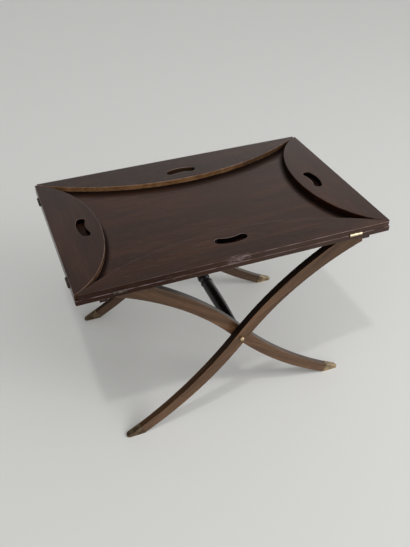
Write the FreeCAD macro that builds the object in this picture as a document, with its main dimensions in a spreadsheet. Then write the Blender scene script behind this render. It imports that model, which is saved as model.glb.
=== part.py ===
# Butler's tray table: an oblong mahogany tray with four hinged, curved flaps,
# carried on a folding stand of two crossed pairs of S-curved legs shod in brass.
# Millimetres. X runs along the tray, -Y is its front, Z is up, the floor is z = 0.
import FreeCAD, Part
import os
import re
import Sketcher

SIZES = {
    # tray board and the flaps folded onto it
    "tray_length": 760,
    "tray_width": 500,
    "base_thickness": 13,
    "corner_round": 3,
    "arris_round": 1.5,
    "flap_thickness": 14,
    "flap_gap": 0.3,            # between a folded flap and the tray board
    "corner_gap": 6,            # from a flap's tip to the tray's corner
    "tip_width": 5,             # blunt end of a flap's tip
    "long_flap_depth": 115,     # hinge edge to the crown of the curve
    "long_flap_handle": 150,    # how far the crown of the curve stays full, from its middle
    "short_flap_depth": 115,
    "short_flap_handle": 150,
    # curved hand hole in each flap
    "hole_length": 80,
    "hole_width": 21,
    "hole_bend": 80,            # radius of the hole's centre line
    "hole_inset": 69,           # hinge edge to the middle of the hole
    # knuckle hinges
    "hinge_length": 32,
    "long_hinge_inset": 95,     # tray corner to the middle of a hinge on a long side
    "short_hinge_inset": 70,
    "axis_overhang": 0.5,       # hinge axis outside the tray's edge
    "barrel_diameter": 8,
    "barrel_clearance": 0.3,
    "knuckle_gap": 0.4,
    "leaf_thickness": 1.5,
    "leaf_reach": 23,           # hinge axis to the far edge of a leaf
    "leaf_clearance": 0.1,
    "pin_diameter": 3,
    "pin_clearance": 0.05,
    # countersunk screws
    "screw_head": 6,
    "screw_head_depth": 1.3,
    "screw_shank": 3,
    "screw_length": 9,
    "slot_width": 0.9,
    "slot_depth": 0.7,
    "screw_clearance": 0.05,
    "screw_spread": 19,         # between the two screws of a leaf
    "screw_reach": 14,          # hinge axis to the screws of a leaf
    # battens under the tray that keep the legs from splaying
    "batten_width": 18,
    "batten_depth": 10,
    "batten_inset": 5,          # tray's long edge to the end of a batten
    "batten_round": 1.5,
    "batten_gap": 3,            # leg end to batten
    "batten_screw_length": 18,
    "batten_screw_inset": 35,   # end of a batten to its first screw
    # folding stand
    "stand_height": 457,
    "stand_inset": 2,           # tray's long edge to the outer legs' faces
    "pivot_height": 237.5,
    "tray_overhang": 72,        # tray's short edge beyond the top ends of the legs
    "foot_lead": 1,             # tip of a toe beyond the top end of the leg above it
    "leg_width": 31.5,          # at the pivot
    "leg_thickness": 20,
    "foot_thickness": 15,       # where a leg meets the floor
    "taper_drop": 40,           # pivot to the start of the thinning towards the foot
    "leg_bow": 14.7,            # degrees by which the leg is steeper at the pivot than over all
    "sole_length": 47,          # toe to heel along the floor
    "toe_height": 3,            # blunt tip of a toe
    "toe_ease": 0.4,            # round end of a toe, beyond the foot at each side
    "top_length": 68,           # flat top of a leg, under the tray
    "top_end_height": 14,       # blunt top end of a leg
    "leg_round": 1,
    "cap_reach": 50,            # toe to the lower end of the cap's shoulder, along X
    "cap_nose": 16,             # solid tip of the cap
    "cap_wall": 2,
    "cap_proud": 0.5,
    "rail_width": 24,
    "rail_height": 18,
    "rail_setback": 10,         # leg end to the rail
    "rail_round": 4,
    "tenon_width": 16,
    "tenon_height": 9,
    "tenon_length": 12,
    "mortise_play": 1,
    # pivot
    "bolt_diameter": 8,
    "bolt_clearance": 0.05,
    "bolt_head_diameter": 11,
    "bolt_head_length": 9,
    "bolt_dome": 4,             # height of the head's rounded end
    "bolt_grip": 30,            # length held in the stretcher
    "washer_diameter": 22,
    "washer_thickness": 3,
    # turned stretcher between the two crossings
    "stretcher_play": 0.3,
    "stretcher_diameter": 30,   # beside the middle beads
    "stretcher_neck": 23,       # beside the end collars
    "stretcher_belly": 2,       # swell between them
    "waist_diameter": 24,
    "bead_diameter": 33,
    "bead_width": 8,
    "bead_offset": 12,          # middle of the stretcher to the middle of a bead
    "collar_diameter": 29,
    "collar_width": 10,
}

# values that several pieces share, worked out from the sizes
SHARED = {
    "top_reach": "tray_length / 2 - tray_overhang",  # pivot to the top end of a leg, along X
    "foot_reach": "top_reach + foot_lead",           # pivot to the tip of a toe, along X
    "stand_width": "tray_width - 2 * stand_inset",   # over the outer legs' faces
    "batten_length": "tray_width - 2 * batten_inset",
    "batten_screw_spread": "(batten_length - 2 * batten_screw_inset) / 3",
    "base_top": "stand_height + base_thickness",
    "axis_height": "base_top + flap_gap / 2",
    "flap_floor": "base_top + flap_gap",
    "barrel_radius": "barrel_diameter / 2",
    "scoop_radius": "barrel_radius + barrel_clearance",
    "knuckle_length": "(hinge_length - 2 * knuckle_gap) / 3",
    "leg_half": "leg_width / 2",
    "leg_slope": "atan(stand_height / (foot_reach + top_reach)) + leg_bow * 1 deg",
    "leg_sin": "sin(leg_slope)",
    "leg_cos": "cos(leg_slope)",
    "side_x": "leg_half * leg_sin",
    "side_z": "leg_half * leg_cos",
    "top_rise": "stand_height - pivot_height",
    "heel_reach": "foot_reach - sole_length",
    "heel_sweep": "((heel_reach + side_x) ^ 2 + (pivot_height - side_z) ^ 2)"
                  " / (2 * (heel_reach * leg_sin - pivot_height * leg_cos + leg_half))",
    "toe_drop": "pivot_height - toe_height",
    "instep_sweep": "((foot_reach - side_x) ^ 2 + (toe_drop + side_z) ^ 2)"
                    " / (2 * (foot_reach * leg_sin - toe_drop * leg_cos - leg_half))",
    "crown_reach": "top_reach - top_length",
    "crown_sweep": "((crown_reach + side_x) ^ 2 + (top_rise - side_z) ^ 2)"
                   " / (2 * (crown_reach * leg_sin - top_rise * leg_cos + leg_half))",
    "end_rise": "top_rise - top_end_height",
    "under_sweep": "((top_reach - side_x) ^ 2 + (end_rise + side_z) ^ 2)"
                   " / (2 * (top_reach * leg_sin - end_rise * leg_cos - leg_half))",
    "heel_x": "(heel_sweep - leg_half) * leg_sin",
    "heel_z": "(heel_sweep - leg_half) * leg_cos",
    "instep_x": "(instep_sweep + leg_half) * leg_sin",
    "instep_z": "(instep_sweep + leg_half) * leg_cos",
    "crown_x": "(crown_sweep - leg_half) * leg_sin",
    "crown_z": "(crown_sweep - leg_half) * leg_cos",
    "under_x": "(under_sweep + leg_half) * leg_sin",
    "under_z": "(under_sweep + leg_half) * leg_cos",
    "foot_thinning": "leg_thickness - foot_thickness",
    "spare": "foot_thinning",
    "toe_round": "foot_thickness / 2 + cap_proud + toe_ease",
    "shoulder_x": "foot_reach - cap_reach",
    "shoulder_z": "pivot_height + heel_z - sqrt(heel_sweep ^ 2 - (heel_x - shoulder_x) ^ 2)",
    "outer_inside": "stand_width / 2 - leg_thickness",
    "inner_inside": "outer_inside - washer_thickness - leg_thickness",
    "stretcher_half": "inner_inside - stretcher_play",
    "rail_middle": "top_reach - rail_setback - rail_width / 2",
}

X_AXIS = FreeCAD.Vector(1, 0, 0)
Y_AXIS = FreeCAD.Vector(0, 1, 0)
Z_AXIS = FreeCAD.Vector(0, 0, 1)

doc = FreeCAD.newDocument("butlers_tray_table")


def named(text, shared="Shared."):
    """The expression with every size and shared value named by its sheet."""
    def full(word):
        if word[0] in SIZES:
            return "Sizes." + word[0]
        if word[0] in SHARED:
            return shared + word[0]
        return word[0]
    return re.sub(r"[a-z][a-z_]+", full, text)


def fill(label, cells):
    """A sheet with one named cell per row."""
    sheet = doc.addObject("Spreadsheet::Sheet", label)
    for row, (alias, content) in enumerate(cells.items(), start=1):
        sheet.set(f"A{row}", alias)
        sheet.set(f"B{row}", str(content))
        sheet.setAlias(f"B{row}", alias)
    doc.recompute()
    return sheet


def bind(thing, **expressions):
    """Tie properties of a document object to expressions."""
    for name, text in expressions.items():
        thing.setExpression(name, named(text))
    return thing


def place(thing, x="0", y="0", z="0", axis=Z_AXIS, angle="0"):
    """Tie a document object's position, and its turn about an axis, to expressions."""
    thing.Placement = FreeCAD.Placement(FreeCAD.Vector(), FreeCAD.Rotation(axis, 90))
    paths = ("Placement.Base.x", "Placement.Base.y", "Placement.Base.z", "Placement.Rotation.Angle")
    for path, text in zip(paths, (x, y, z, angle)):
        thing.setExpression(path, named(text))
    return thing


def box(name, size, corner):
    """A block from its three side lengths and its lowest corner."""
    block = bind(doc.addObject("Part::Box", name), Length=size[0], Width=size[1], Height=size[2])
    return place(block, *corner)


def rod(name, radius, length, start, axis=Z_AXIS, angle="0"):
    """A cylinder that runs up Z from its start, then turns about an axis through it."""
    cylinder = bind(doc.addObject("Part::Cylinder", name), Radius=radius, Height=length)
    return place(cylinder, *start, axis=axis, angle=angle)


def rod_along_x(name, radius, length, middle_x="0"):
    """A cylinder on a hinge's axis, centred on a point of it."""
    return rod(name, radius, length, (f"{middle_x} - ({length}) / 2", "0", "0"), Y_AXIS, "90")


def fuse(name, pieces):
    joined = doc.addObject("Part::MultiFuse", name)
    joined.Shapes = pieces
    return joined


def cut(name, base, tool):
    result = doc.addObject("Part::Cut", name)
    result.Base = base
    result.Tool = tool
    return result


def common(name, first, second):
    result = doc.addObject("Part::Common", name)
    result.Base = first
    result.Tool = second
    return result


def group(name, pieces):
    compound = doc.addObject("Part::Compound", name)
    compound.Links = pieces
    return compound


def copy(source, name, x, y, z, angle="0"):
    """A linked copy of a piece, turned about Z and moved."""
    link = doc.addObject("App::Link", name)
    link.LinkedObject = source
    return place(link, x, y, z, angle=angle)


def new_body(name, x="0", y="0", z="0", angle="0"):
    return place(doc.addObject("PartDesign::Body", name), x, y, z, angle=angle)


def new_sketch(body, name, plane):
    """A sketch on one of the body's own origin planes."""
    sketch = body.newObject("Sketcher::SketchObject", name)
    support = next(feature for feature in body.Origin.OriginFeatures if feature.Role == plane)
    sketch.AttachmentSupport = [(support, "")]
    sketch.MapMode = "FlatFace"
    return sketch


def amount(thing, text):
    """The number that an expression comes to."""
    result = thing.evalExpression(named(text))
    return float(getattr(result, "Value", result))


def tie(sketch, kind, geometry, *rest):
    """A dimension of a sketch tied to an expression, which comes last."""
    *position, text = rest
    index = sketch.addConstraint(Sketcher.Constraint(kind, geometry, *position, amount(sketch, text)))
    sketch.setExpression(f"Constraints[{index}]", named(text))


def tie_point(sketch, geometry, position, point):
    tie(sketch, "DistanceX", geometry, position, point[0])
    tie(sketch, "DistanceY", geometry, position, point[1])


def arc_between(start, end, radius):
    """The short arc from start to end, which turns left where its radius is positive."""
    half = (end - start) * 0.5
    left = FreeCAD.Vector(-half.y, half.x, 0).normalize()
    drop = max(radius ** 2 - half.Length ** 2, 0) ** 0.5
    towards = 1 if radius > 0 else -1
    middle = start + half - left * towards * (abs(radius) - drop)
    return Part.Arc(start, middle, end)


def outline(sketch, corners, arcs=None):
    """A closed outline through corners; a side listed in arcs has that radius, positive to the left."""
    arcs = arcs or {}
    points = [FreeCAD.Vector(amount(sketch, x), amount(sketch, y), 0) for x, y in corners]
    ends = []
    for side, start in enumerate(points):
        end = points[(side + 1) % len(points)]
        if side not in arcs:
            index = sketch.addGeometry(Part.LineSegment(start, end), False)
            ends.append((index, 1, 2))
            continue
        radius = amount(sketch, arcs[side])
        if radius > 0:
            index = sketch.addGeometry(arc_between(start, end, radius), False)
            ends.append((index, 1, 2))
        else:
            index = sketch.addGeometry(arc_between(end, start, -radius), False)
            ends.append((index, 2, 1))
    for side, (index, first, last) in enumerate(ends):
        following, next_first, _ = ends[(side + 1) % len(ends)]
        sketch.addConstraint(Sketcher.Constraint("Coincident", index, last, following, next_first))
    for (index, first, _), corner in zip(ends, corners):
        tie_point(sketch, index, first, corner)
    for side, radius in arcs.items():
        tie(sketch, "Radius", ends[side][0], f"abs({radius})")


def pad(body, sketch, length, reverse=False, both_ways=False):
    feature = body.newObject("PartDesign::Pad", sketch.Name + "_pad")
    feature.Profile = sketch
    feature.Reversed = reverse
    feature.SideType = "Symmetric" if both_ways else "One side"
    bind(feature, Length=length)
    sketch.Visibility = False
    doc.recompute()
    return feature


def pocket(body, sketch, depth, reverse=False, both_ways=False):
    """A cut of the sketch's shape; it has to take material away."""
    before = body.Shape.Volume
    feature = body.newObject("PartDesign::Pocket", sketch.Name + "_pocket")
    feature.Profile = sketch
    feature.Reversed = reverse
    feature.SideType = "Symmetric" if both_ways else "One side"
    bind(feature, Length=depth)
    doc.recompute()
    if not body.Shape.Volume < before:
        raise RuntimeError(f"{feature.Name} cuts nothing")
    return feature


def revolve(body, sketch):
    """A full turn of the sketch about its own vertical axis."""
    feature = body.newObject("PartDesign::Revolution", sketch.Name + "_turning")
    feature.Profile = sketch
    feature.ReferenceAxis = (sketch, ["V_Axis"])
    feature.Angle = 360
    doc.recompute()
    return feature


def round_edges(body, name, radius, chosen):
    """Round the edges of a body that a test picks."""
    base = body.Tip
    edges = [f"Edge{number}" for number, edge in enumerate(base.Shape.Edges, start=1) if chosen(edge)]
    feature = body.newObject("PartDesign::Fillet", name)
    feature.Base = (base, edges)
    bind(feature, Radius=radius)
    doc.recompute()
    return feature


def is_level(edge):
    return edge.BoundBox.ZLength < 1e-6


def is_upright(edge):
    return edge.BoundBox.XLength < 1e-6 and edge.BoundBox.YLength < 1e-6


def is_sweep(edge):
    """A long curved edge of a leg."""
    return edge.Curve.TypeId != "Part::GeomLine" and edge.BoundBox.XLength > 15


# Sides of the tray: the turn that takes the front to that side, and where its hinges are.
LONG_EDGE = "tray_width / 2"
SHORT_EDGE = "tray_length / 2"
LONG_HINGE = "tray_length / 2 - long_hinge_inset"
SHORT_HINGE = "tray_width / 2 - short_hinge_inset"
SIDES = {
    "front": {"kind": "long", "angle": "0", "edge": ("0", f"-({LONG_EDGE})")},
    "back": {"kind": "long", "angle": "180", "edge": ("0", LONG_EDGE)},
    "left": {"kind": "short", "angle": "270", "edge": (f"-({SHORT_EDGE})", "0")},
    "right": {"kind": "short", "angle": "90", "edge": (SHORT_EDGE, "0")},
}


def hinge_places(side):
    """The two spots on a side's hinge axis, as (x, y) expressions."""
    outside = {"front": f"-({LONG_EDGE} + axis_overhang)", "back": f"{LONG_EDGE} + axis_overhang",
               "left": f"-({SHORT_EDGE} + axis_overhang)", "right": f"{SHORT_EDGE} + axis_overhang"}[side]
    if SIDES[side]["kind"] == "long":
        return [(f"-({LONG_HINGE})", outside), (LONG_HINGE, outside)]
    return [(outside, f"-({SHORT_HINGE})"), (outside, SHORT_HINGE)]


def on_hinges(name, source, sides):
    """A group of copies of a piece, one at each hinge of the given sides."""
    copies = []
    for side in sides:
        for number, (x, y) in enumerate(hinge_places(side), start=1):
            label = f"{name}_{side}_{number}"
            copies.append(copy(source, label, x, y, "axis_height", SIDES[side]["angle"]))
    return group(name, copies)


def make_screw(name, length, play="0"):
    """A countersunk screw with its head's face at the origin, pointing down."""
    head = doc.addObject("Part::Cone", name + "_head")
    bind(head, Radius1=f"screw_shank / 2 + {play}", Radius2=f"screw_head / 2 + {play}",
         Height="screw_head_depth")
    place(head, "0", "0", "-screw_head_depth")
    shank = rod(name + "_shank", f"screw_shank / 2 + {play}", f"{length} + {play}",
                ("0", "0", f"-({length} + {play})"))
    return fuse(name, [head, shank])


def slotted(name, screw):
    """The screw with a driver's slot across its head."""
    slot = box(name + "_slot", ("screw_head", "slot_width", "slot_depth"),
               ("-screw_head / 2", "-slot_width / 2", "-slot_depth"))
    return cut(name, screw, slot)


def turned_over(source, name, x, y, z):
    """A linked copy turned upside down about X and moved."""
    link = doc.addObject("App::Link", name)
    link.LinkedObject = source
    return place(link, x, y, z, axis=X_AXIS, angle="180")


def make_hinge():
    """The pieces of one hinge and the recesses they lie in, about the hinge's axis along X."""
    pieces = {}
    screw = slotted("hinge_screw", make_screw("hinge_screw_blank", "screw_length"))
    screw_room = make_screw("hinge_screw_room", "screw_length", "screw_clearance")
    spots = ["-screw_spread / 2", "screw_spread / 2"]
    low_face = "-flap_gap / 2"
    high_face = "flap_gap / 2"
    for number, x in enumerate(spots):
        pieces[f"base_screw_{number}"] = copy(screw, f"base_screw_{number}", x, "screw_reach", low_face)
        pieces[f"flap_screw_{number}"] = turned_over(
            screw, f"flap_screw_{number}", x, "screw_reach", high_face)
        pieces[f"base_room_{number}"] = copy(
            screw_room, f"base_room_{number}", x, "screw_reach", low_face)
        pieces[f"flap_room_{number}"] = turned_over(
            screw_room, f"flap_room_{number}", x, "screw_reach", high_face)
    base_rooms = [pieces["base_room_0"], pieces["base_room_1"]]
    flap_rooms = [pieces["flap_room_0"], pieces["flap_room_1"]]

    step = "(knuckle_length + knuckle_gap)"
    bottoms = {"base": "-flap_gap / 2 - leaf_thickness", "flap": "flap_gap / 2"}
    knuckles = {"base": [f"-{step}", step], "flap": ["0"]}
    rooms = {"base": base_rooms, "flap": flap_rooms}
    for part in ("base", "flap"):
        plate = box(f"{part}_plate", ("hinge_length", "leaf_reach - scoop_radius", "leaf_thickness"),
                    ("-hinge_length / 2", "scoop_radius", bottoms[part]))
        solids = [plate]
        for number, middle in enumerate(knuckles[part]):
            solids.append(rod_along_x(f"{part}_knuckle_{number}", "barrel_radius", "knuckle_length", middle))
            solids.append(box(f"{part}_tab_{number}", ("knuckle_length", "scoop_radius", "leaf_thickness"),
                              (f"{middle} - knuckle_length / 2", "0", bottoms[part])))
        bore = rod_along_x(f"{part}_bore", "pin_diameter / 2 + pin_clearance", "hinge_length")
        pieces[f"{part}_leaf"] = cut(
            f"{part}_leaf", fuse(f"{part}_leaf_blank", solids), fuse(f"{part}_holes", [bore] + rooms[part]))

    pieces["pin"] = group("hinge_pin", [rod_along_x("hinge_pin_rod", "pin_diameter / 2", "hinge_length")])
    recess_length = "hinge_length + 2 * leaf_clearance"
    deep = "leaf_thickness + flap_gap / 2"
    corners = {"base": f"-({deep})", "flap": "-barrel_radius"}
    for part in ("base", "flap"):
        recess_width = "leaf_reach + leaf_clearance + barrel_radius"
        mortise = box(f"{part}_mortise", (recess_length, recess_width, f"barrel_radius + {deep}"),
                      (f"-({recess_length}) / 2", "-barrel_radius", corners[part]))
        scoop = rod_along_x(f"{part}_scoop", "scoop_radius", recess_length)
        pieces[f"{part}_recess"] = fuse(f"{part}_recess", [mortise, scoop] + rooms[part])
    pieces["base_screws"] = group("base_screw_pair", [pieces["base_screw_0"], pieces["base_screw_1"]])
    pieces["flap_screws"] = group("flap_screw_pair", [pieces["flap_screw_0"], pieces["flap_screw_1"]])
    return pieces


def batten_screw_places():
    """Screws along both battens, as (x, y) expressions."""
    middle = "(top_reach + batten_gap + batten_width / 2)"
    rows = ["-1.5", "-0.5", "0.5", "1.5"]
    return [(f"{end}{middle}", f"{row} * batten_screw_spread") for end in ("-", "") for row in rows]


def upward_screws(name, source):
    """Copies of a screw driven up through the battens."""
    copies = [turned_over(source, f"{name}_{number}", x, y, "stand_height - batten_depth")
              for number, (x, y) in enumerate(batten_screw_places(), start=1)]
    return group(name, copies)


def make_tray(hinge):
    """The tray board with its hinge recesses, the battens below it and their screws."""
    room = make_screw("batten_screw_room", "batten_screw_length", "screw_clearance")
    rooms = upward_screws("batten_screw_rooms", room)
    screw = slotted("batten_screw", make_screw("batten_screw_blank", "batten_screw_length"))
    upward_screws("batten_screws", screw)

    body = new_body("tray_board", z="stand_height")
    sketch = new_sketch(body, "tray_outline", "XY_Plane")
    outline(sketch, [(f"-({SHORT_EDGE})", f"-({LONG_EDGE})"), (SHORT_EDGE, f"-({LONG_EDGE})"),
                     (SHORT_EDGE, LONG_EDGE), (f"-({SHORT_EDGE})", LONG_EDGE)])
    pad(body, sketch, "base_thickness")
    round_edges(body, "tray_corners", "corner_round", is_upright)
    round_edges(body, "tray_arrises", "arris_round", is_level)
    recesses = on_hinges("base_recesses", hinge["base_recess"], SIDES)
    cut("tray_base", cut("tray_board_recessed", body, recesses), rooms)

    for label, start in (("left_batten", "-(top_reach + batten_gap + batten_width)"),
                         ("right_batten", "top_reach + batten_gap")):
        body = new_body(label + "_strip", start, "-batten_length / 2", "stand_height - batten_depth")
        sketch = new_sketch(body, label + "_outline", "XY_Plane")
        outline(sketch, [("0", "0"), ("batten_width", "0"), ("batten_width", "batten_length"),
                         ("0", "batten_length")])
        pad(body, sketch, "batten_depth")
        round_edges(body, label + "_arrises", "batten_round", lambda edge: edge.BoundBox.ZMax < 1e-6)
        cut(label, body, rooms)


def hole_outline(sketch):
    """A bent slot, hollow towards the flap's curved edge."""
    half = "hole_width / 2"
    turn = "asin((hole_length - hole_width) / (2 * hole_bend))"
    tip = f"(hole_bend * sin({turn}) + {half} * cos({turn}))"
    tip_height = f"hole_inset + hole_bend - hole_bend * cos({turn}) + {half} * sin({turn})"

    def on_side(radius):
        return f"({radius}) * sin({turn})", f"hole_inset + hole_bend - ({radius}) * cos({turn})"

    low_x, low_y = on_side(f"hole_bend + {half}")
    high_x, high_y = on_side(f"hole_bend - {half}")
    corners = [(f"-{low_x}", low_y), (low_x, low_y), (tip, tip_height),
               (high_x, high_y), (f"-{high_x}", high_y), (f"-{tip}", tip_height)]
    outline(sketch, corners, {0: f"hole_bend + {half}", 1: half, 2: half,
                              3: f"-(hole_bend - {half})", 4: half, 5: half})


def flap_outline(sketch, kind):
    """Straight hinge edge, blunt tips and one smooth curve whose crown is the flap's depth."""
    half = {"long": SHORT_EDGE, "short": LONG_EDGE}[kind] + " - corner_gap"
    crown = f"(4 * {kind}_flap_depth - tip_width) / 3"
    poles = [(half, "tip_width"), (f"{kind}_flap_handle", crown),
             (f"-{kind}_flap_handle", crown), (f"-({half})", "tip_width")]
    points = [FreeCAD.Vector(amount(sketch, x), amount(sketch, y), 0) for x, y in poles]
    feet = [FreeCAD.Vector(points[3].x, 0, 0), FreeCAD.Vector(points[0].x, 0, 0)]
    curve = Part.BSplineCurve(points, None, None, False, 3, None, False)
    sketch.addGeometry(curve, False)
    sketch.exposeInternalGeometry(0)
    controls = [index for index, shape in enumerate(sketch.Geometry) if isinstance(shape, Part.Circle)]
    sides = [sketch.addGeometry(Part.LineSegment(start, end), False)
             for start, end in ((points[3], feet[0]), (feet[0], feet[1]), (feet[1], points[0]))]
    for first, last, second, start in ((0, 2, sides[0], 1), (sides[0], 2, sides[1], 1),
                                       (sides[1], 2, sides[2], 1), (sides[2], 2, 0, 1)):
        sketch.addConstraint(Sketcher.Constraint("Coincident", first, last, second, start))
    tie_point(sketch, sides[1], 1, (f"-({half})", "0"))
    tie_point(sketch, sides[1], 2, (half, "0"))
    tie_point(sketch, sides[0], 1, poles[3])
    tie_point(sketch, sides[2], 2, poles[0])
    tie_point(sketch, controls[1], 3, poles[1])
    tie_point(sketch, controls[2], 3, poles[2])


def make_flap(side, hinge):
    """One curved flap, with its hand hole, hinge recesses, leaves and screws."""
    x, y = SIDES[side]["edge"]
    body = new_body(side + "_flap_board", x, y, "flap_floor", SIDES[side]["angle"])
    sketch = new_sketch(body, side + "_flap_outline", "XY_Plane")
    flap_outline(sketch, SIDES[side]["kind"])
    pad(body, sketch, "flap_thickness")
    sketch = new_sketch(body, side + "_hand_hole", "XY_Plane")
    hole_outline(sketch)
    pocket(body, sketch, "flap_thickness", reverse=True)
    round_edges(body, side + "_flap_arrises", "arris_round", is_level)
    cut(side + "_flap", body, on_hinges(side + "_flap_recesses", hinge["flap_recess"], [side]))
    on_hinges(side + "_flap_hinge_leaves", hinge["flap_leaf"], [side])
    on_hinges(side + "_flap_hinge_screws", hinge["flap_screws"], [side])


def leg_outline(sketch, foot, margin, sole, nose):
    """S-shaped leg about the pivot, wider all round by a margin, its sole lifted and its nose cut short."""
    half = f"(leg_half + ({margin}))"
    toe = f"(foot_reach + ({margin}) - ({nose}))"
    ground = f"(pivot_height - ({sole}))"
    heel_radius = f"(heel_sweep + ({margin}))"
    instep_radius = f"(instep_sweep - ({margin}))"
    crown_radius = f"(crown_sweep + ({margin}))"
    under_radius = f"(under_sweep - ({margin}))"
    heel = f"(sqrt({heel_radius} ^ 2 - (heel_z + {ground}) ^ 2) - heel_x)"
    instep = f"instep_z - sqrt({instep_radius} ^ 2 - (instep_x - {toe}) ^ 2)"
    end_low = f"sqrt({under_radius} ^ 2 - (under_x - top_reach) ^ 2) - under_z"
    crown = f"(crown_x - sqrt({crown_radius} ^ 2 - (top_rise + crown_z) ^ 2))"
    corners = [(heel, f"-{ground}"), (f"{half} * leg_sin", f"-{half} * leg_cos"), ("top_reach", end_low),
               ("top_reach", "top_rise"), (crown, "top_rise"), (f"-{half} * leg_sin", f"{half} * leg_cos"),
               (f"-{toe}", instep), (f"-{toe}", f"-{ground}")]
    radii = {0: heel_radius, 1: f"-{under_radius}", 4: crown_radius, 5: f"-{instep_radius}"}
    if foot == "right":
        corners = [(f"-({x})", z) for x, z in corners]
        radii = {side: f"-({radius})" for side, radius in radii.items()}
    outline(sketch, corners, radii)


def leg_blank(name, foot, side, inside, margin="0", sole="0", nose="0"):
    """A whole leg, its inner face planed back in a slow curve below the pivot."""
    sign = {"front": "-", "back": ""}[side]
    body = new_body(name, y=f"{sign}({inside} - ({margin}) - spare)", z="pivot_height")
    sketch = new_sketch(body, name + "_outline", "XZ_Plane")
    leg_outline(sketch, foot, margin, sole, nose)
    pad(body, sketch, f"leg_thickness + 2 * ({margin}) + spare", reverse=side == "back")
    sketch = new_sketch(body, name + "_inner_face", "YZ_Plane")
    thinning = "(pivot_height - taper_drop)"
    radius = f"({thinning} ^ 2 + foot_thinning ^ 2) / (2 * foot_thinning)"
    corners = [("-spare", "2 * top_rise"), ("spare", "2 * top_rise"), ("spare", "-taper_drop"),
               ("spare + foot_thinning", "-pivot_height"), ("-spare", "-pivot_height")]
    arcs = {2: radius}
    if side == "front":
        corners = [(f"-({y})", z) for y, z in corners]
        arcs = {2: f"-({radius})"}
    outline(sketch, corners, arcs)
    pocket(body, sketch, "3 * foot_reach", both_ways=True)
    return body


def toe_plan(name, foot, side, inside):
    """A tall block with the plan of a toe, round at its tip and plain behind."""
    tip_x = {"left": "-", "right": ""}[foot] + "(foot_reach - toe_round)"
    start_x = tip_x + {"left": "", "right": " - 2 * cap_reach"}[foot]
    middle = {"front": "-", "back": ""}[side] + f"({inside} + leg_thickness - foot_thickness / 2)"
    tip = rod(name + "_tip", "toe_round", "2 * cap_reach", (tip_x, middle, "-spare"))
    behind = box(name + "_behind", ("2 * cap_reach", "2 * leg_thickness", "2 * cap_reach"),
                 (start_x, f"{middle} - leg_thickness", "-spare"))
    return fuse(name, [tip, behind])


def make_leg(frame, side, foot, inside):
    """One leg with its pivot hole, its mortise for the top rail, and the brass cap on its toe."""
    label = f"{frame}_{side}_leg"
    body = leg_blank(label + "_blank", foot, side, inside)
    round_edges(body, label + "_arrises", "leg_round", is_sweep)

    sketch = new_sketch(body, label + "_pivot_hole", "XZ_Plane")
    sketch.addGeometry(Part.Circle(FreeCAD.Vector(), Z_AXIS, 1), False)
    sketch.addConstraint(Sketcher.Constraint("Coincident", 0, 3, -1, 1))
    tie(sketch, "Radius", 0, "bolt_diameter / 2 + bolt_clearance")
    pocket(body, sketch, "leg_thickness + spare", reverse=side == "front")

    sign = {"left": "", "right": "-"}[foot]
    sketch = new_sketch(body, label + "_mortise", "XZ_Plane")
    rectangle(sketch, f"{sign}rail_middle", "top_rise - rail_height / 2", "tenon_width", "tenon_height")
    pocket(body, sketch, "tenon_length + mortise_play + spare", reverse=side == "front")

    core = leg_blank(label + "_core", foot, side, inside, "cap_proud - cap_wall", "cap_wall", "cap_nose")
    shell = leg_blank(label + "_shell", foot, side, inside, "cap_proud")
    round_edges(shell, label + "_shell_arrises", "leg_round", is_sweep)
    away = {"left": "-", "right": ""}[foot]
    middle = {"front": "-", "back": ""}[side] + f"({inside} + leg_thickness / 2)"
    lean = "90 deg + asin((heel_x - shoulder_x) / heel_sweep)"
    toe_end = rod(label + "_toe_end", "leg_width + leg_thickness", "2 * cap_reach",
                  (f"{away}shoulder_x", middle, "shoulder_z"), Y_AXIS, f"{away}({lean})")
    stem = cut(label + "_stem", body, toe_end)
    stub = common(label + "_stub", core, toe_end)
    fuse(label, [stem, stub])
    blank = common(label + "_cap_blank", shell, toe_end)
    rounded = common(label + "_cap_rounded", blank, toe_plan(label + "_toe_plan", foot, side, inside))
    cut(f"{frame}_{side}_toe_cap", rounded, core)


def rectangle(sketch, middle_x, middle_y, width, height):
    low_x = f"{middle_x} - {width} / 2"
    high_x = f"{middle_x} + {width} / 2"
    low_y = f"{middle_y} - {height} / 2"
    high_y = f"{middle_y} + {height} / 2"
    outline(sketch, [(low_x, low_y), (high_x, low_y), (high_x, high_y), (low_x, high_y)])


def make_rail(frame, foot, inside):
    """The rail that joins a frame's two legs at the top, tenoned into them."""
    label = f"{frame}_top_rail"
    sign = {"left": "", "right": "-"}[foot]
    body = new_body(label, f"{sign}rail_middle", "0", "stand_height - rail_height / 2")
    sketch = new_sketch(body, label + "_section", "XZ_Plane")
    rectangle(sketch, "0", "0", "rail_width", "rail_height")
    pad(body, sketch, f"2 * {inside}", both_ways=True)
    round_edges(body, label + "_arrises", "rail_round",
                lambda edge: edge.BoundBox.YLength > edge.BoundBox.XLength and edge.BoundBox.ZMax < 0)
    sketch = new_sketch(body, label + "_tenons", "XZ_Plane")
    rectangle(sketch, "0", "0", "tenon_width", "tenon_height")
    pad(body, sketch, f"2 * ({inside} + tenon_length)", both_ways=True)


def make_frame(frame, foot, inside):
    """One folding frame of the stand: two legs that share a pivot line and a top rail."""
    for side in ("front", "back"):
        make_leg(frame, side, foot, inside)
    make_rail(frame, foot, inside)


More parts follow.
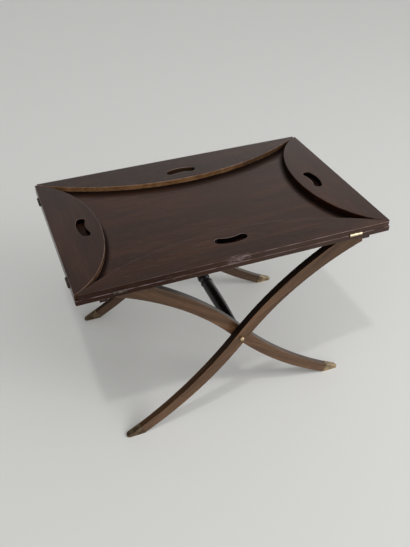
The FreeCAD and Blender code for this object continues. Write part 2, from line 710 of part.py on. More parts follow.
def make_stretcher():
    """Turned rail on the pivot line, with two beads at its middle and a collar at each end."""
    body = new_body("stretcher", z="pivot_height")
    sketch = new_sketch(body, "stretcher_half_profile", "XY_Plane")
    bead_start = "bead_offset - bead_width / 2"
    bead_end = "bead_offset + bead_width / 2"
    collar_start = "stretcher_half - collar_width"
    bore = "bolt_diameter / 2 + bolt_clearance"
    bead_rise = "(bead_diameter - waist_diameter) / 2"
    bead_radius = f"(bead_width ^ 2 / (8 * {bead_rise}) + {bead_rise} / 2)"
    corners = [("0", "0"), ("waist_diameter / 2", "0"), ("waist_diameter / 2", bead_start),
               ("bead_diameter / 2", "bead_offset"), ("waist_diameter / 2", bead_end),
               ("stretcher_diameter / 2", f"{bead_end} + bead_width / 2"),
               ("stretcher_neck / 2", collar_start),
               ("collar_diameter / 2", "stretcher_half - collar_width / 2"),
               ("stretcher_neck / 2", "stretcher_half"), (bore, "stretcher_half"),
               (bore, "stretcher_half - bolt_grip"), ("0", "stretcher_half - bolt_grip")]
    collar_rise = "(collar_diameter - stretcher_neck) / 2"
    collar_radius = f"(collar_width ^ 2 / (8 * {collar_rise}) + {collar_rise} / 2)"
    shaft_length = f"(({collar_start}) - ({bead_end}) - bead_width / 2)"
    shaft_fall = "((stretcher_diameter - stretcher_neck) / 2)"
    belly_radius = f"(({shaft_length} ^ 2 + {shaft_fall} ^ 2) / (8 * stretcher_belly) + stretcher_belly / 2)"
    outline(sketch, corners, {2: bead_radius, 3: bead_radius, 5: belly_radius,
                              6: collar_radius, 7: collar_radius})
    turning = revolve(body, sketch)
    mirror = body.newObject("PartDesign::Mirrored", "stretcher_other_half")
    mirror.Originals = [turning]
    mirror.MirrorPlane = (sketch, ["H_Axis"])
    body.Tip = mirror
    doc.recompute()


def make_bolt(side):
    """Round-headed pivot bolt, through both legs of a crossing into the stretcher's end."""
    sign, angle = {"front": ("-", "0"), "back": ("", "180")}[side]
    body = new_body(f"{side}_pivot_bolt", y=f"{sign}stand_width / 2", z="pivot_height", angle=angle)
    sketch = new_sketch(body, f"{side}_bolt_profile", "XY_Plane")
    head = "bolt_head_diameter / 2"
    shank = "bolt_diameter / 2"
    tail = "stand_width / 2 - stretcher_half + bolt_grip"
    dome = f"(({head}) ^ 2 + bolt_dome ^ 2) / (2 * bolt_dome)"
    corners = [("0", "-bolt_head_length"), (head, "bolt_dome - bolt_head_length"), (head, "0"),
               (shank, "0"), (shank, tail), ("0", tail)]
    outline(sketch, corners, {0: dome})
    revolve(body, sketch)


def make_washers():
    """Spacing washers that keep the legs of each crossing apart."""
    rings = []
    for side, start in (("front", "-outer_inside"), ("back", "outer_inside - washer_thickness")):
        spot = ("0", start, "pivot_height")
        disc = rod(f"{side}_washer_disc", "washer_diameter / 2", "washer_thickness", spot, X_AXIS, "-90")
        hole = rod(f"{side}_washer_hole", "bolt_diameter / 2 + bolt_clearance", "washer_thickness",
                   spot, X_AXIS, "-90")
        rings.append(cut(f"{side}_washer", disc, hole))
    group("pivot_washers", rings)


def check(nodes):
    """Stop unless every object is sound and every node is made of valid solids."""
    for thing in doc.Objects:
        if "Invalid" in thing.State or "Error" in thing.State:
            raise RuntimeError(f"{thing.Label}: {thing.State}")
    for name in nodes:
        shape = doc.getObject(name).Shape
        if shape.isNull() or not shape.isValid() or not shape.Solids:
            raise RuntimeError(f"{name} has no sound shape")


fill("Sizes", SIZES)
fill("Shared", {name: "=" + named(text, shared="") for name, text in SHARED.items()})

hinge = make_hinge()
make_tray(hinge)
on_hinges("base_hinge_leaves", hinge["base_leaf"], SIDES)
on_hinges("base_hinge_screws", hinge["base_screws"], SIDES)
on_hinges("hinge_pins", hinge["pin"], SIDES)
for side in SIDES:
    make_flap(side, hinge)
make_frame("outer", "left", "outer_inside")
make_frame("inner", "right", "inner_inside")
make_stretcher()
make_bolt("front")
make_bolt("back")
make_washers()
doc.recompute()

NODES = ["tray_base", "left_batten", "right_batten", "batten_screws", "base_hinge_leaves",
         "base_hinge_screws", "hinge_pins", "stretcher", "front_pivot_bolt", "back_pivot_bolt",
         "pivot_washers"]
for side in SIDES:
    NODES += [f"{side}_flap", f"{side}_flap_hinge_leaves", f"{side}_flap_hinge_screws"]
for frame in ("outer", "inner"):
    NODES.append(f"{frame}_top_rail")
    for side in ("front", "back"):
        NODES += [f"{frame}_{side}_leg", f"{frame}_{side}_toe_cap"]

check(NODES)
os.makedirs("parts", exist_ok=True)
for name in NODES:
    doc.getObject(name).Shape.exportStep(f"parts/{name}.step")
print(len(NODES), "pieces written")
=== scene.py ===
# Butler's tray table: a dark polished mahogany tray with folded flaps on a crossed stand.
import math

import bpy
from mathutils import Matrix, Vector

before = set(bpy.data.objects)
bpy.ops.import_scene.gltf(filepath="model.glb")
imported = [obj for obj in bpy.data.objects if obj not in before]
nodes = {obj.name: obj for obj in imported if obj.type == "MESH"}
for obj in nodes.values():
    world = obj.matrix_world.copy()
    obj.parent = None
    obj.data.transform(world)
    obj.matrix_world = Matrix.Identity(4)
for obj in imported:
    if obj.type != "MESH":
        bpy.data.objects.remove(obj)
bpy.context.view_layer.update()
sides = ("front", "back", "left", "right")
mmInMetre = 1000
print("frame loaded with", len(nodes), "nodes")

# settings that many nodes share
smooth = {"interpolation_type": "SMOOTHSTEP"}
times = {"operation": "MULTIPLY"}
timesPlus = {"operation": "MULTIPLY_ADD"}
larger = {"operation": "MAXIMUM"}
dot = {"operation": "DOT_PRODUCT"}
length = {"operation": "LENGTH"}
blend = {"data_type": "RGBA"}         # share on socket 0, colours on 6 and 7, result on output 2


# hex sRGB to linear RGBA
def linear(hexColour):
    channels = [int(hexColour[i:i + 2], 16) / 255 for i in (1, 3, 5)]
    return [c / 12.92 if c <= 0.04045 else ((c + 0.055) / 1.055) ** 2.4 for c in channels] + [1]


# one node with its settings and the sockets that feed it; a pair fills both ends of a range
def add(tree, kind, settings=None, links=None):
    node = tree.nodes.new(kind)
    for name, value in (settings or {}).items():
        if f"{name} Min" in node.inputs:
            for end, part in zip(("Min", "Max"), value):
                node.inputs[f"{name} {end}"].default_value = part
        elif isinstance(name, int) or name in node.inputs:
            node.inputs[name].default_value = value
        else:
            setattr(node, name, value)
    for name, source in (links or {}).items():
        tree.links.new(source, node.inputs[name])
    return node


# fill a colour ramp from (position, hex) stops
def setStops(ramp, stops):
    elements = ramp.color_ramp.elements
    while len(elements) < len(stops):
        elements.new(1)
    for element, (position, colour) in zip(elements, stops):
        element.position = position
        element.color = linear(colour)


# empty material with a principled shader on its output
def startMaterial(name, shader):
    material = bpy.data.materials.new(name)
    material.use_nodes = True
    tree = material.node_tree
    tree.nodes.clear()
    surface = add(tree, "ShaderNodeBsdfPrincipled", shader)
    add(tree, "ShaderNodeOutputMaterial", links={"Surface": surface.outputs[0]})
    return material, tree, surface


# give every named node this one material
def dress(material, names):
    for name in names:
        slots = nodes[name].data.materials
        slots.clear()
        slots.append(material)


# where noise, slope and place turn one finish into the next, alike for every board and leg
woodRule = {
    "bend": 0.35,                     # how far the figure wanders off the straight grain
    "noise": (0.3, 0.7),              # nearly all of the noise lies in here
    "pore": (0.62, 0.72), "scuff": (0.62, 0.72), "chip": (0.48, 0.6),
    "patch": (0.4, 0.62), "patchLeast": 0.2,
    "paleSpots": (0.35, 0.65), "paleLeast": 0.55,
    "edge": (0.35, 0.75), "wall": (0.2, 0.7),           # lean of the normal, 1 on the broad face
    "arrisStart": (0.1, 0.5), "arrisEnd": (0.8, 0.99),
    "wearSide": (-0.2, 0.2), "litSide": (0.3, 0.8),    # how far the normal looks that way
    "trayShadeHeight": (0.28, 0.4),                           # metres up the legs
    "wearAndHighlightSpread": (-0.25, 0.05), "reflectionCutSpread": (-0.2, 0.1),     # metres, left to right
    "paleSpread": (0.05, 0.2), "paleRight": 0.35,
    "ringRise": 0.004, "reliefDepth": 0.0004,           # metres
    "rubbedRough": 0.2, "paintedShadeRough": 0.6, "bareFilm": 0.02,
}


# Mahogany, planed and polished by hand: straight ribbon grain with open pores under a clear film.
# The film mirrors the room, so flat boards look grey at a low angle. Rubbed arrises show bare wood
# and a painted highlight.
def mahogany(name, look):
    rule = woodRule
    material, tree, surface = startMaterial(
        name, {"IOR": 1.5, "Specular Tint": linear(look["film"])})
    coords = add(tree, "ShaderNodeTexCoord")
    here, normal = coords.outputs["Object"], coords.outputs["Normal"]
    place = add(tree, "ShaderNodeSeparateXYZ", links={"Vector": here})
    slope = add(tree, "ShaderNodeSeparateXYZ", links={"Vector": normal})
    lean = add(tree, "ShaderNodeMath", {"operation": "ABSOLUTE"},
               {0: slope.outputs[look["faceAxis"]]})
    turned = add(tree, "ShaderNodeMapping",
                 {"Rotation": [math.radians(angle) for angle in look["grainTurn"]]},
                 {"Vector": here})

    # strongest of the soft rings around these places
    def ringsAround(spots):
        strongest = None
        for spot in spots:
            shift = [-at * squash for at, squash in zip(spot["at"], spot["squash"])]
            flat = add(tree, "ShaderNodeMapping",
                       {"Location": (*shift, 0), "Scale": (*spot["squash"], 0)}, {"Vector": here})
            away = add(tree, "ShaderNodeVectorMath", length, {0: flat.outputs[0]})
            begin = add(tree, "ShaderNodeMapRange",
                        {"From": (spot["start"] - rule["ringRise"], spot["start"]),
                         "To": (0, spot["share"])}, {"Value": away.outputs["Value"]})
            end = add(tree, "ShaderNodeMapRange", {**smooth, "From": spot["fade"], "To": (1, 0)},
                      {"Value": away.outputs["Value"]})
            ring = add(tree, "ShaderNodeMath", times, {0: begin.outputs[0], 1: end.outputs[0]})
            if strongest:
                ring = add(tree, "ShaderNodeMath", larger,
                           {0: strongest.outputs[0], 1: ring.outputs[0]})
            strongest = ring
        return strongest.outputs[0]

    # noise stretched along the grain, from its real length and width in mm
    def grain(sizeMm, detail, rough):
        lengthwise, crosswise = mmInMetre / sizeMm[0], mmInMetre / sizeMm[1]
        scale = (lengthwise, crosswise, crosswise)
        stretched = add(tree, "ShaderNodeMapping", {"Scale": scale}, {"Vector": turned.outputs[0]})
        noise = add(tree, "ShaderNodeTexNoise",
                    {"Scale": 1, "Detail": detail, "Roughness": rough, "Distortion": rule["bend"]},
                    {"Vector": stretched.outputs[0]})
        return noise.outputs[0]

    # ribbons, fine streaks and pores
    ribbon = grain(look["ribbonMm"], detail=4, rough=0.65)
    streak = grain(look["streakMm"], detail=3, rough=0.6)
    pore = grain(look["poreMm"], detail=1, rough=0.5)
    body = add(tree, "ShaderNodeValToRGB", links={"Fac": ribbon})
    setStops(body, look["stops"])
    fine = add(tree, "ShaderNodeMapRange", {"From": rule["noise"], "To": look["streak"]},
               {"Value": streak})
    streaked = add(tree, "ShaderNodeMix", {**blend, "blend_type": "MULTIPLY", 0: 1},
                   {6: body.outputs[0], 7: fine.outputs[0]})
    pits = add(tree, "ShaderNodeMapRange", {"From": rule["pore"], "To": (0, look["poreDark"])},
               {"Value": pore})
    pored = add(tree, "ShaderNodeMix", {**blend, 7: linear(look["poreColour"])},
                {0: pits.outputs[0], 6: streaked.outputs[2]})

    # the plank's edges are darker, partly old stain and partly painted shade, and painted shade
    # darkens what is high up under the tray
    edge = add(tree, "ShaderNodeMapRange", {**smooth, "From": rule["edge"], "To": (1, 0)},
               {"Value": lean.outputs[0]})
    shadeHigh = add(tree, "ShaderNodeMapRange",
                  {**smooth, "From": look["stainAndShadeRise"], "To": look["stainAndShadeShare"]},
                  {"Value": place.outputs["Z"]})
    stainAndShade = add(tree, "ShaderNodeMath", times, {0: edge.outputs[0], 1: shadeHigh.outputs[0]})
    if "stainAndShadeUnder" in look:
        under = add(tree, "ShaderNodeMapRange",
                    {**smooth, "From": rule["trayShadeHeight"], "To": (0, look["stainAndShadeUnder"])},
                    {"Value": place.outputs["Z"]})
        stainAndShade = add(tree, "ShaderNodeMath", larger, {0: stainAndShade.outputs[0], 1: under.outputs[0]})
    colour = add(tree, "ShaderNodeMix", {**blend, 7: linear(look["stainAndShadeColour"])},
                 {0: stainAndShade.outputs[0], 6: pored.outputs[2]})

    # rounded arrises are rubbed in patches, bare wood with a painted highlight: their normal has
    # left one face and not reached the next
    arrisStart = add(tree, "ShaderNodeMapRange", {**smooth, "From": rule["arrisStart"]},
                     {"Value": lean.outputs[0]})
    arrisEnd = add(tree, "ShaderNodeMapRange", {**smooth, "From": rule["arrisEnd"], "To": (1, 0)},
                   {"Value": lean.outputs[0]})
    arris = add(tree, "ShaderNodeMath", times, {0: arrisStart.outputs[0], 1: arrisEnd.outputs[0]})
    patch = add(tree, "ShaderNodeTexNoise", {"Scale": mmInMetre / look["wearMm"], "Detail": 3},
                {"Vector": here})
    wear = add(tree, "ShaderNodeMapRange",
               {"From": rule["patch"], "To": (look["wear"] * rule["patchLeast"], look["wear"])},
               {"Value": patch.outputs[0]})
    handled = add(tree, "ShaderNodeVectorMath", {**dot, 1: look["wearFace"]}, {0: normal})
    outer = add(tree, "ShaderNodeMapRange",
                {"From": rule["wearSide"], "To": (look["wearBehind"], 1)},
                {"Value": handled.outputs["Value"]})
    wear = add(tree, "ShaderNodeMath", times, {0: wear.outputs[0], 1: outer.outputs[0]})
    # the painted arris highlight fades toward the dimmer left
    if "wearAndHighlightLeft" in look:
        fainterLeft = add(tree, "ShaderNodeMapRange",
                     {"From": rule["wearAndHighlightSpread"], "To": (look["wearAndHighlightLeft"], 1)},
                     {"Value": place.outputs["X"]})
        wear = add(tree, "ShaderNodeMath", times, {0: wear.outputs[0], 1: fainterLeft.outputs[0]})
    rubbed = add(tree, "ShaderNodeMath", times, {0: arris.outputs[0], 1: wear.outputs[0]})

    # scuffs along the edges and chips at a knock
    if "scuff" in look:
        scratch = grain(look["scuffMm"], detail=3, rough=0.7)
        bumped = add(tree, "ShaderNodeMapRange", {"From": rule["scuff"], "To": (0, look["scuff"])},
                     {"Value": scratch})
        scuff = add(tree, "ShaderNodeMath", times, {0: edge.outputs[0], 1: bumped.outputs[0]})
        rubbed = add(tree, "ShaderNodeMath", larger, {0: rubbed.outputs[0], 1: scuff.outputs[0]})
    if "knocks" in look:
        flaking = add(tree, "ShaderNodeMapRange", {"From": rule["chip"]}, {"Value": scratch})
        chips = add(tree, "ShaderNodeMath", times,
                    {0: ringsAround(look["knocks"]), 1: flaking.outputs[0]})
        rubbed = add(tree, "ShaderNodeMath", larger, {0: rubbed.outputs[0], 1: chips.outputs[0]})

    # a sawn edge that faces the light is paler, bare wood with painted light on it, in patches and
    # less toward the right
    if "paleShare" in look:
        facing = add(tree, "ShaderNodeVectorMath", {**dot, 1: look["litFace"]}, {0: normal})
        pale = add(tree, "ShaderNodeMapRange",
                   {**smooth, "From": rule["litSide"], "To": (0, look["paleShare"])},
                   {"Value": facing.outputs["Value"]})
        spots = add(tree, "ShaderNodeMapRange",
                    {"From": rule["paleSpots"], "To": (rule["paleLeast"], 1)},
                    {"Value": patch.outputs[0]})
        fade = add(tree, "ShaderNodeMapRange",
                   {"From": rule["paleSpread"], "To": (1, rule["paleRight"])},
                   {"Value": place.outputs["X"]})
        for thinner in (fade, spots, fine):
            pale = add(tree, "ShaderNodeMath", times, {0: pale.outputs[0], 1: thinner.outputs[0]})
        colour = add(tree, "ShaderNodeMix", {**blend, 7: linear(look["paleColour"])},
                     {0: pale.outputs[0], 6: colour.outputs[2]})
    # worn arrises: bare wood and painted highlight
    colour = add(tree, "ShaderNodeMix", {**blend, 7: linear(look["wornAndHighlightColour"])},
                 {0: rubbed.outputs[0], 6: colour.outputs[2]})

    # the polish is duller in cloudy patches, where it is rubbed and on some edges
    cloud = grain(look["cloudMm"], detail=2, rough=0.5)
    dull = add(tree, "ShaderNodeMapRange", {"From": rule["noise"], "To": look["polish"]},
               {"Value": cloud})
    dull = add(tree, "ShaderNodeMath", {**timesPlus, 1: rule["rubbedRough"]},
               {0: rubbed.outputs[0], 2: dull.outputs[0]})
    if "edgeDull" in look:
        dull = add(tree, "ShaderNodeMath", {**timesPlus, 1: look["edgeDull"]},
                   {0: edge.outputs[0], 2: dull.outputs[0]})

    # painted shade in the reflection: the film's reflection is cut on the edges, by a share that
    # changes from left to right
    reflectionCut = add(tree, "ShaderNodeMapRange", {"From": rule["reflectionCutSpread"], "To": look["reflectionCut"]},
               {"Value": place.outputs["X"]})
    reflectionShade = add(tree, "ShaderNodeMath", times, {0: edge.outputs[0], 1: reflectionCut.outputs[0]})

    # painted shade blackens and dulls the hand holes, and a painted shadow darkens the base along
    # the folded flaps' edges
    if "paintedShadeSpots" in look:
        lie = add(tree, "ShaderNodeMapRange",
                  {"From": rule["wall"], "To": (look["paintedShadeWall"], look["paintedShadeFlat"])},
                  {"Value": lean.outputs[0]})
        paintedShade = add(tree, "ShaderNodeMath", times,
                    {0: ringsAround(look["paintedShadeSpots"]), 1: lie.outputs[0]})
        colour = add(tree, "ShaderNodeMix", {**blend, 7: linear(look["paintedShadeColour"])},
                     {0: paintedShade.outputs[0], 6: colour.outputs[2]})
        dull = add(tree, "ShaderNodeMath", {**timesPlus, 1: rule["paintedShadeRough"], "use_clamp": True},
                   {0: paintedShade.outputs[0], 2: dull.outputs[0]})
        reflectionShade = add(tree, "ShaderNodeMath", larger, {0: reflectionShade.outputs[0], 1: paintedShade.outputs[0]})

    film = add(tree, "ShaderNodeMapRange", {"To": (look["filmDepth"], rule["bareFilm"])},
               {"Value": reflectionShade.outputs[0]})
    depth = add(tree, "ShaderNodeMath", {"operation": "SUBTRACT"}, {0: streak, 1: pits.outputs[0]})
    relief = add(tree, "ShaderNodeBump",
                 {"Strength": look["relief"], "Distance": rule["reliefDepth"]},
                 {"Height": depth.outputs[0]})
    tree.links.new(colour.outputs[2], surface.inputs["Base Color"])
    tree.links.new(dull.outputs[0], surface.inputs["Roughness"])
    tree.links.new(film.outputs[0], surface.inputs["Specular IOR Level"])
    tree.links.new(relief.outputs[0], surface.inputs["Normal"])
    return material


acrossTurn = (0, 0, 90)               # degrees, grain from front to back

# tray boards: nearly black red-brown with age
trayBoard = {
    "film": "#ffdcc8", "filmDepth": 0.5,      # amber of old shellac
    "stops": [(0.3, "#1e100a"), (0.5, "#2a160e"), (0.72, "#3b2014")], "streak": (0.56, 1.44),
    "ribbonMm": (300, 42), "streakMm": (110, 3.2), "cloudMm": (220, 130),
    "poreMm": (30, 1.6),              # real pores are 0.2 mm wide, drawn 8 times as wide to show
    "poreColour": "#120806", "poreDark": 0.5,
    "faceAxis": "Z", "grainTurn": (0, 0, 0),            # broad face up, grain from left to right
    # edges painted darker: old stain and painted shade
    "stainAndShadeColour": "#1c100d", "stainAndShadeRise": (0, 0.1), "stainAndShadeShare": (0.5, 0.5),
    "wornAndHighlightColour": "#7f7173", "wear": 0.6, "wearMm": 30, "wearFace": (0, 0, 1), "wearBehind": 0.5,
    "scuff": 0.4, "scuffMm": (22, 2.5),
    # reflection cut on the edges, more on the left: painted shade
    "polish": (0.15, 0.28), "reflectionCut": (0.75, 0), "relief": 0.45,
    "paintedShadeColour": "#040202", "paintedShadeWall": 1, "paintedShadeFlat": 0,
}

# places in metres: hand holes, painted shade on the base under them, painted shadows along the
# flaps' edges, one knock
alongHole = {"squash": (1, 2.6), "start": -1, "fade": (0.05, 0.056), "share": 1}
acrossHole = {**alongHole, "squash": (2.6, 1)}
frontHole = {**alongHole, "at": (0, -0.181)}
backHole = {**alongHole, "at": (0, 0.181), "share": 0.85}
leftHole = {**acrossHole, "at": (-0.311, 0)}
rightHole = {**acrossHole, "at": (0.311, 0)}
holeFloorShade = {"fade": (0.014, 0.045), "share": 0.58}
shadedHoleFloors = [{**hole, **holeFloorShade} for hole in (frontHole, leftHole, rightHole)]
# painted shadows on the base along the back, right and left flaps' curved edges
backFlapShadow = {
    "at": (0, 0.8345), "squash": (1, 1), "start": 0.695, "fade": (0.703, 0.738), "share": 0.92,
}
rightFlapShadow = {
    "at": (0.619, -0.012), "squash": (1, 1), "start": 0.35, "fade": (0.36, 0.38), "share": 1,
}
leftFlapShadow = {**rightFlapShadow, "at": (-0.619, -0.012), "fade": (0.355, 0.367), "share": 0.9}
edgeKnock = {
    "at": (-0.012, -0.248), "squash": (1, 4), "start": -1, "fade": (0.022, 0.034), "share": 0.6,
}

# battens: painted darker, as shade under the tray
batten = {
    "grainTurn": acrossTurn,
    "stops": [(0.3, "#120a07"), (0.5, "#1a0f0b"), (0.7, "#24150f")],
}
trayBoards = {
    "tray_base": {
        "wear": 0.7, "paintedShadeWall": 0, "paintedShadeFlat": 0.9,
        "paintedShadeSpots": [backFlapShadow, rightFlapShadow, leftFlapShadow] + shadedHoleFloors,
    },
    "front_flap": {
        "wearFace": (0, -1, 0), "wearBehind": 0.1, "wearAndHighlightLeft": 0.2,
        "knocks": [edgeKnock], "paintedShadeSpots": [frontHole],
    },
    # back flap: its front-facing sawn edge is paler, bare wood and painted light; its edges'
    # reflection is cut as painted shade
    "back_flap": {
        "stops": [(0.3, "#170d09"), (0.5, "#20120d"), (0.7, "#301c12")],
        "paleColour": "#7c5b3b", "paleShare": 0.8, "litFace": (0, -1, 0), "reflectionCut": (0.8, 0.5),
        "paintedShadeSpots": [backHole],
    },
    "left_flap": {
        "film": "#ffdece", "grainTurn": acrossTurn,
        "stops": [(0.3, "#1e110d"), (0.5, "#281812"), (0.72, "#362118")], "streak": (0.7, 1.25),
        "wornAndHighlightColour": "#7b655a", "wear": 0.65,
        # the sawn edge that faces the front-right light is paler: bare wood and painted light
        "paleColour": "#5e4636", "paleShare": 0.85, "litFace": (0.8, -0.6, 0),
        "paintedShadeSpots": [leftHole],
    },
    # right flap: its edges, facing the dim left, are painted near black as shade, in colour and in
    # a cut reflection
    "right_flap": {
        "grainTurn": acrossTurn, "wornAndHighlightColour": "#644836", "wear": 0.5, "reflectionCut": (0.9, 0.9),
        "stainAndShadeColour": "#1c0d07", "stainAndShadeShare": (0.95, 0.95), "paintedShadeSpots": [rightHole],
    },
    "left_batten": batten,
    "right_batten": batten,
}
for board, change in trayBoards.items():
    dress(mahogany("french_polished_mahogany_" + board, {**trayBoard, **change}), [board])
print("tray boards dressed")


# stand: the same timber, paler and browner, with grain along each leg
legTimber = {
    "film": "#ffe2cc", "filmDepth": 0.5,
    "stops": [(0.3, "#3a281b"), (0.5, "#4f3826"), (0.7, "#634733")], "streak": (0.7, 1.28),
    "ribbonMm": (260, 14), "streakMm": (90, 3), "cloudMm": (150, 90),
    "poreMm": (22, 1.4),              # drawn 7 times as wide as real pores
    "poreColour": "#1c0f08", "poreDark": 0.55,
    "faceAxis": "Y",                  # broad face to the front
    # the legs' edges and their upper part under the tray are painted dark as shade
    "stainAndShadeColour": "#0c0604", "stainAndShadeRise": (0.08, 0.26), "stainAndShadeShare": (0.4, 0.97),
    "stainAndShadeUnder": 0.38,
    "wornAndHighlightColour": "#7d5f44", "wear": 0.4, "wearMm": 35, "wearFace": (0, 0, 1), "wearBehind": 1,
    # reflection cut on the edges: painted shade
    "polish": (0.22, 0.36), "reflectionCut": (0.85, 0.85), "edgeDull": 0.35, "relief": 0.18,
}
legSlope = 36.5                       # degrees from the floor, toe to top
stand = {
    "outer": {"grainTurn": (0, legSlope, 0)},
    "inner": {"grainTurn": (0, -legSlope, 0), "reflectionCut": (0.1, 0.1), "edgeDull": 0.08},
}
# the back legs: a darker copy of the leg wood, painted shade for their place under the tray
shadedBackLegs = {"stops": [(0.3, "#2a1d14"), (0.5, "#38291d"), (0.7, "#463325")]}     # the back legs
railLook = {**legTimber, "grainTurn": acrossTurn}
for pair, change in stand.items():
    frontLook = {**legTimber, **change}
    backLook = {**frontLook, **shadedBackLegs}
    dress(mahogany(f"shaded_mahogany_{pair}_front_leg", frontLook), [f"{pair}_front_leg"])
    dress(mahogany(f"shaded_mahogany_{pair}_back_leg", backLook), [f"{pair}_back_leg"])
    dress(mahogany(f"shaded_mahogany_{pair}_rail", railLook), [f"{pair}_top_rail"])
print("stand dressed")


# Ebonised beech, turned and polished: black stain with fine tool rings, brown on the rubbed beads.
stretcherLook = {
    "black": "#0b0606", "film": 0.25, "polish": (0.16, 0.3), "polishNoise": (0.3, 0.7),
    "ringMm": 2.2,                    # tool rings of 0.5 mm drawn 4 times as wide
    "ringWander": 3, "ringDepth": 0.0003, "relief": 0.12,
    "rubbed": "#3a2318", "rubbedShare": 0.8, "rubbedRadius": (0.0155, 0.0166),
    "patchScale": 90,                 # patches of 11 mm
    "axisHeight": 0.2375,
}


def ebonised(name, look):
    material, tree, surface = startMaterial(name, {"IOR": 1.5, "Specular IOR Level": look["film"]})
    coords = add(tree, "ShaderNodeTexCoord")
    here = coords.outputs["Object"]
    rings = add(tree, "ShaderNodeMapping",
                {"Scale": (look["ringWander"], mmInMetre / look["ringMm"], look["ringWander"])},
                {"Vector": here})
    turned = add(tree, "ShaderNodeTexNoise", {"Scale": 1, "Detail": 2},
                 {"Vector": rings.outputs[0]})
    spokes = add(tree, "ShaderNodeMapping",
                 {"Location": (0, 0, -look["axisHeight"]), "Scale": (1, 0, 1)}, {"Vector": here})
    radius = add(tree, "ShaderNodeVectorMath", length, {0: spokes.outputs[0]})
    bead = add(tree, "ShaderNodeMapRange",
               {"From": look["rubbedRadius"], "To": (0, look["rubbedShare"])},
               {"Value": radius.outputs["Value"]})
    patch = add(tree, "ShaderNodeTexNoise", {"Scale": look["patchScale"], "Detail": 3},
                {"Vector": here})
    share = add(tree, "ShaderNodeMath", times, {0: bead.outputs[0], 1: patch.outputs[0]})
    colour = add(tree, "ShaderNodeMix",
                 {**blend, 6: linear(look["black"]), 7: linear(look["rubbed"])},
                 {0: share.outputs[0]})
    gloss = add(tree, "ShaderNodeMapRange", {"From": look["polishNoise"], "To": look["polish"]},
                {"Value": turned.outputs[0]})
    relief = add(tree, "ShaderNodeBump",
                 {"Strength": look["relief"], "Distance": look["ringDepth"]},
                 {"Height": turned.outputs[0]})
    tree.links.new(colour.outputs[2], surface.inputs["Base Color"])
    tree.links.new(gloss.outputs[0], surface.inputs["Roughness"])
    tree.links.new(relief.outputs[0], surface.inputs["Normal"])
    return material


dress(ebonised("ebonised_beech", stretcherLook), ["stretcher"])
print("stretcher dressed")


# Cast brass, handled and tarnished: dull brown skin in patches over metal kept bright by rubbing.
brassLook = {
    "bright": "#cfb894", "tarnish": "#4a3a2c", "share": (0.25, 0.9), "shareNoise": (0.35, 0.65),
    "leftDarkening": 0, "leftSpread": (0.25, -0.25), "polish": (0.26, 0.5), "patchMm": 12,
    "speckMm": 1.6,                   # specks of 0.3 mm drawn 5 times as wide
    "speckDepth": 0.0002, "relief": 0.15,
}
brassPieces = {
    "hinges": {
        "bright": "#d8c8a8", "tarnish": "#453c38", "share": (0, 0.4), "leftDarkening": 0.88,
        "nodes": ["base_hinge_leaves", "hinge_pins"]
                 + [side + "_flap_hinge_leaves" for side in sides],
    },
    "screws": {
        "share": (0.3, 0.9),
        "nodes": ["base_hinge_screws", "batten_screws"]
                 + [side + "_flap_hinge_screws" for side in sides],
    },
    "left_toe_caps": {
        "share": (0.75, 1), "nodes": ["outer_front_toe_cap", "outer_back_toe_cap"],
    },
    "right_toe_caps": {
        "share": (0.2, 0.85), "nodes": ["inner_front_toe_cap", "inner_back_toe_cap"],
    },
    "pivots": {
        "share": (0, 0.55), "nodes": ["front_pivot_bolt", "back_pivot_bolt", "pivot_washers"],
    },
}


def agedBrass(name, look):
    material, tree, surface = startMaterial(name, {"Metallic": 1})
    coords = add(tree, "ShaderNodeTexCoord")
    here = coords.outputs["Object"]
    patch = add(tree, "ShaderNodeTexNoise",
                {"Scale": mmInMetre / look["patchMm"], "Detail": 4, "Roughness": 0.6},
                {"Vector": here})
    speck = add(tree, "ShaderNodeTexNoise", {"Scale": mmInMetre / look["speckMm"], "Detail": 2},
                {"Vector": here})
    clouded = add(tree, "ShaderNodeMapRange", {"From": look["shareNoise"], "To": look["share"]},
                  {"Value": patch.outputs[0]})
    place = add(tree, "ShaderNodeSeparateXYZ", links={"Vector": here})
    # darker toward the left, mixed into the tarnish colour
    darkerLeft = add(tree, "ShaderNodeMapRange",
               {"From": look["leftSpread"], "To": (0, look["leftDarkening"])},
               {"Value": place.outputs["X"]})
    skin = add(tree, "ShaderNodeMath", {"operation": "ADD", "use_clamp": True},
               {0: clouded.outputs[0], 1: darkerLeft.outputs[0]})
    colour = add(tree, "ShaderNodeMix",
                 {**blend, 6: linear(look["bright"]), 7: linear(look["tarnish"])},
                 {0: skin.outputs[0]})
    gloss = add(tree, "ShaderNodeMapRange", {"To": look["polish"]}, {"Value": skin.outputs[0]})
    relief = add(tree, "ShaderNodeBump",
                 {"Strength": look["relief"], "Distance": look["speckDepth"]},
                 {"Height": speck.outputs[0]})
    tree.links.new(colour.outputs[2], surface.inputs["Base Color"])
    tree.links.new(gloss.outputs[0], surface.inputs["Roughness"])
    tree.links.new(relief.outputs[0], surface.inputs["Normal"])
    return material


for group, change in brassPieces.items():
    dress(agedBrass("aged_brass_" + group, {**brassLook, **change}), change["nodes"])
print("brass dressed")


# painted concrete floor, pale and matt, a hair below the toes
floorLook = {"colour": "#d4d4d1", "roughness": 0.9, "half": 20, "drop": 0.0003}
floorMesh = bpy.data.meshes.new("floor")
reach = floorLook["half"]
corners = [(-reach, -reach, 0), (reach, -reach, 0), (reach, reach, 0), (-reach, reach, 0)]
floorMesh.from_pydata(corners, [], [(0, 1, 2, 3)])
floor = bpy.data.objects.new("floor", floorMesh)
floor.location.z = -floorLook["drop"]
bpy.context.scene.collection.objects.link(floor)
floorPaint, *_ = startMaterial(
    "matt_floor_paint",
    {"Base Color": linear(floorLook["colour"]), "Roughness": floorLook["roughness"]})
floorMesh.materials.append(floorPaint)

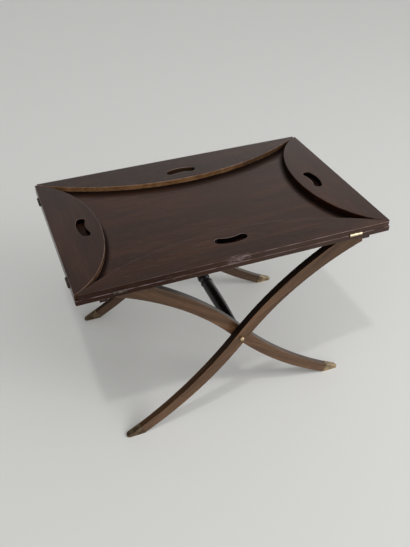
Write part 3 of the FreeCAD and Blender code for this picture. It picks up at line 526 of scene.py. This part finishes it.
# soft room light: bright in front, dimmer behind and overhead, fading to the left
roomLook = {
    "tint": "#ffffff", "heights": [(0, "#ffffff"), (0.42, "#b2b2b2"), (0.64, "#8f8f8f")],
    "right": 0.2, "rightSpread": (0, 0.6), "front": 0.68, "frontSpread": (0.25, -0.45),
    "left": 0.6, "leftSpread": (-0.7, 0.1),
}
world = bpy.data.worlds.new("soft_room")
bpy.context.scene.world = world
world.use_nodes = True
roomTree = world.node_tree
roomTree.nodes.clear()
around = add(roomTree, "ShaderNodeTexCoord")
heading = add(roomTree, "ShaderNodeSeparateXYZ", links={"Vector": around.outputs["Generated"]})
height = add(roomTree, "ShaderNodeValToRGB", links={"Fac": heading.outputs["Z"]})
setStops(height, roomLook["heights"])
rightSide = add(roomTree, "ShaderNodeMapRange",
                {**smooth, "From": roomLook["rightSpread"], "To": (0, roomLook["right"])},
                {"Value": heading.outputs["X"]})
frontSide = add(roomTree, "ShaderNodeMapRange",
                {**smooth, "From": roomLook["frontSpread"], "To": (0, roomLook["front"])},
                {"Value": heading.outputs["Y"]})
leftSide = add(roomTree, "ShaderNodeMapRange",
               {**smooth, "From": roomLook["leftSpread"], "To": (roomLook["left"], 1)},
               {"Value": heading.outputs["X"]})
sideLevel = add(roomTree, "ShaderNodeMath", {"operation": "ADD"},
                {0: height.outputs[0], 1: rightSide.outputs[0]})
brightness = add(roomTree, "ShaderNodeMath", timesPlus,
                 {0: sideLevel.outputs[0], 1: leftSide.outputs[0], 2: frontSide.outputs[0]})
room = add(roomTree, "ShaderNodeBackground", {"Color": linear(roomLook["tint"])},
           {"Strength": brightness.outputs[0]})
add(roomTree, "ShaderNodeOutputWorld", links={"Surface": room.outputs[0]})

# overhead lamp in front of the table, and a soft panel at the front right
lampAim = Vector((0, 0, 0.3))
lamps = {
    "ceiling_lamp": {"place": (-0.9, -1.75, 5.5), "size": (0.28, 0.28), "watts": 42},
    "side_panel": {"place": (2.8, -2.4, 2.4), "size": (1.6, 1.4), "watts": 66},
}
for name, look in lamps.items():
    data = bpy.data.lights.new(name, "AREA")
    data.shape = "RECTANGLE"
    data.size, data.size_y = look["size"]
    data.energy = look["watts"]
    lamp = bpy.data.objects.new(name, data)
    lamp.location = look["place"]
    lamp.rotation_euler = (lampAim - lamp.location).to_track_quat("-Z", "Y").to_euler()
    bpy.context.scene.collection.objects.link(lamp)
print("floor and light set")

# camera at the photograph's angle, in degrees, metres and mm of lens
cameraLook = {
    "azimuth": -20.43, "elevation": 37.15, "roll": -0.96, "target": (-0.01846, -0.04953, 0.3),
    "distance": 1.69979, "lens": 43.004, "sensor": 36,
}
azimuth = math.radians(cameraLook["azimuth"])
elevation = math.radians(cameraLook["elevation"])
roll = math.radians(cameraLook["roll"])
back = Vector((math.sin(azimuth) * math.cos(elevation), -math.cos(azimuth) * math.cos(elevation),
               math.sin(elevation)))
level = Vector((math.cos(azimuth), math.sin(azimuth), 0))
upright = back.cross(level)
right = level * math.cos(roll) + upright * math.sin(roll)
up = upright * math.cos(roll) - level * math.sin(roll)
cameraData = bpy.data.cameras.new("camera")
cameraData.lens = cameraLook["lens"]
cameraData.sensor_width = cameraLook["sensor"]
camera = bpy.data.objects.new("camera", cameraData)
eye = Vector(cameraLook["target"]) + back * cameraLook["distance"]
camera.matrix_world = Matrix.Translation(eye) @ Matrix((right, up, back)).transposed().to_4x4()
bpy.context.scene.collection.objects.link(camera)
bpy.context.scene.camera = camera
bpy.context.scene.view_settings.view_transform = "Standard"
print("camera set")
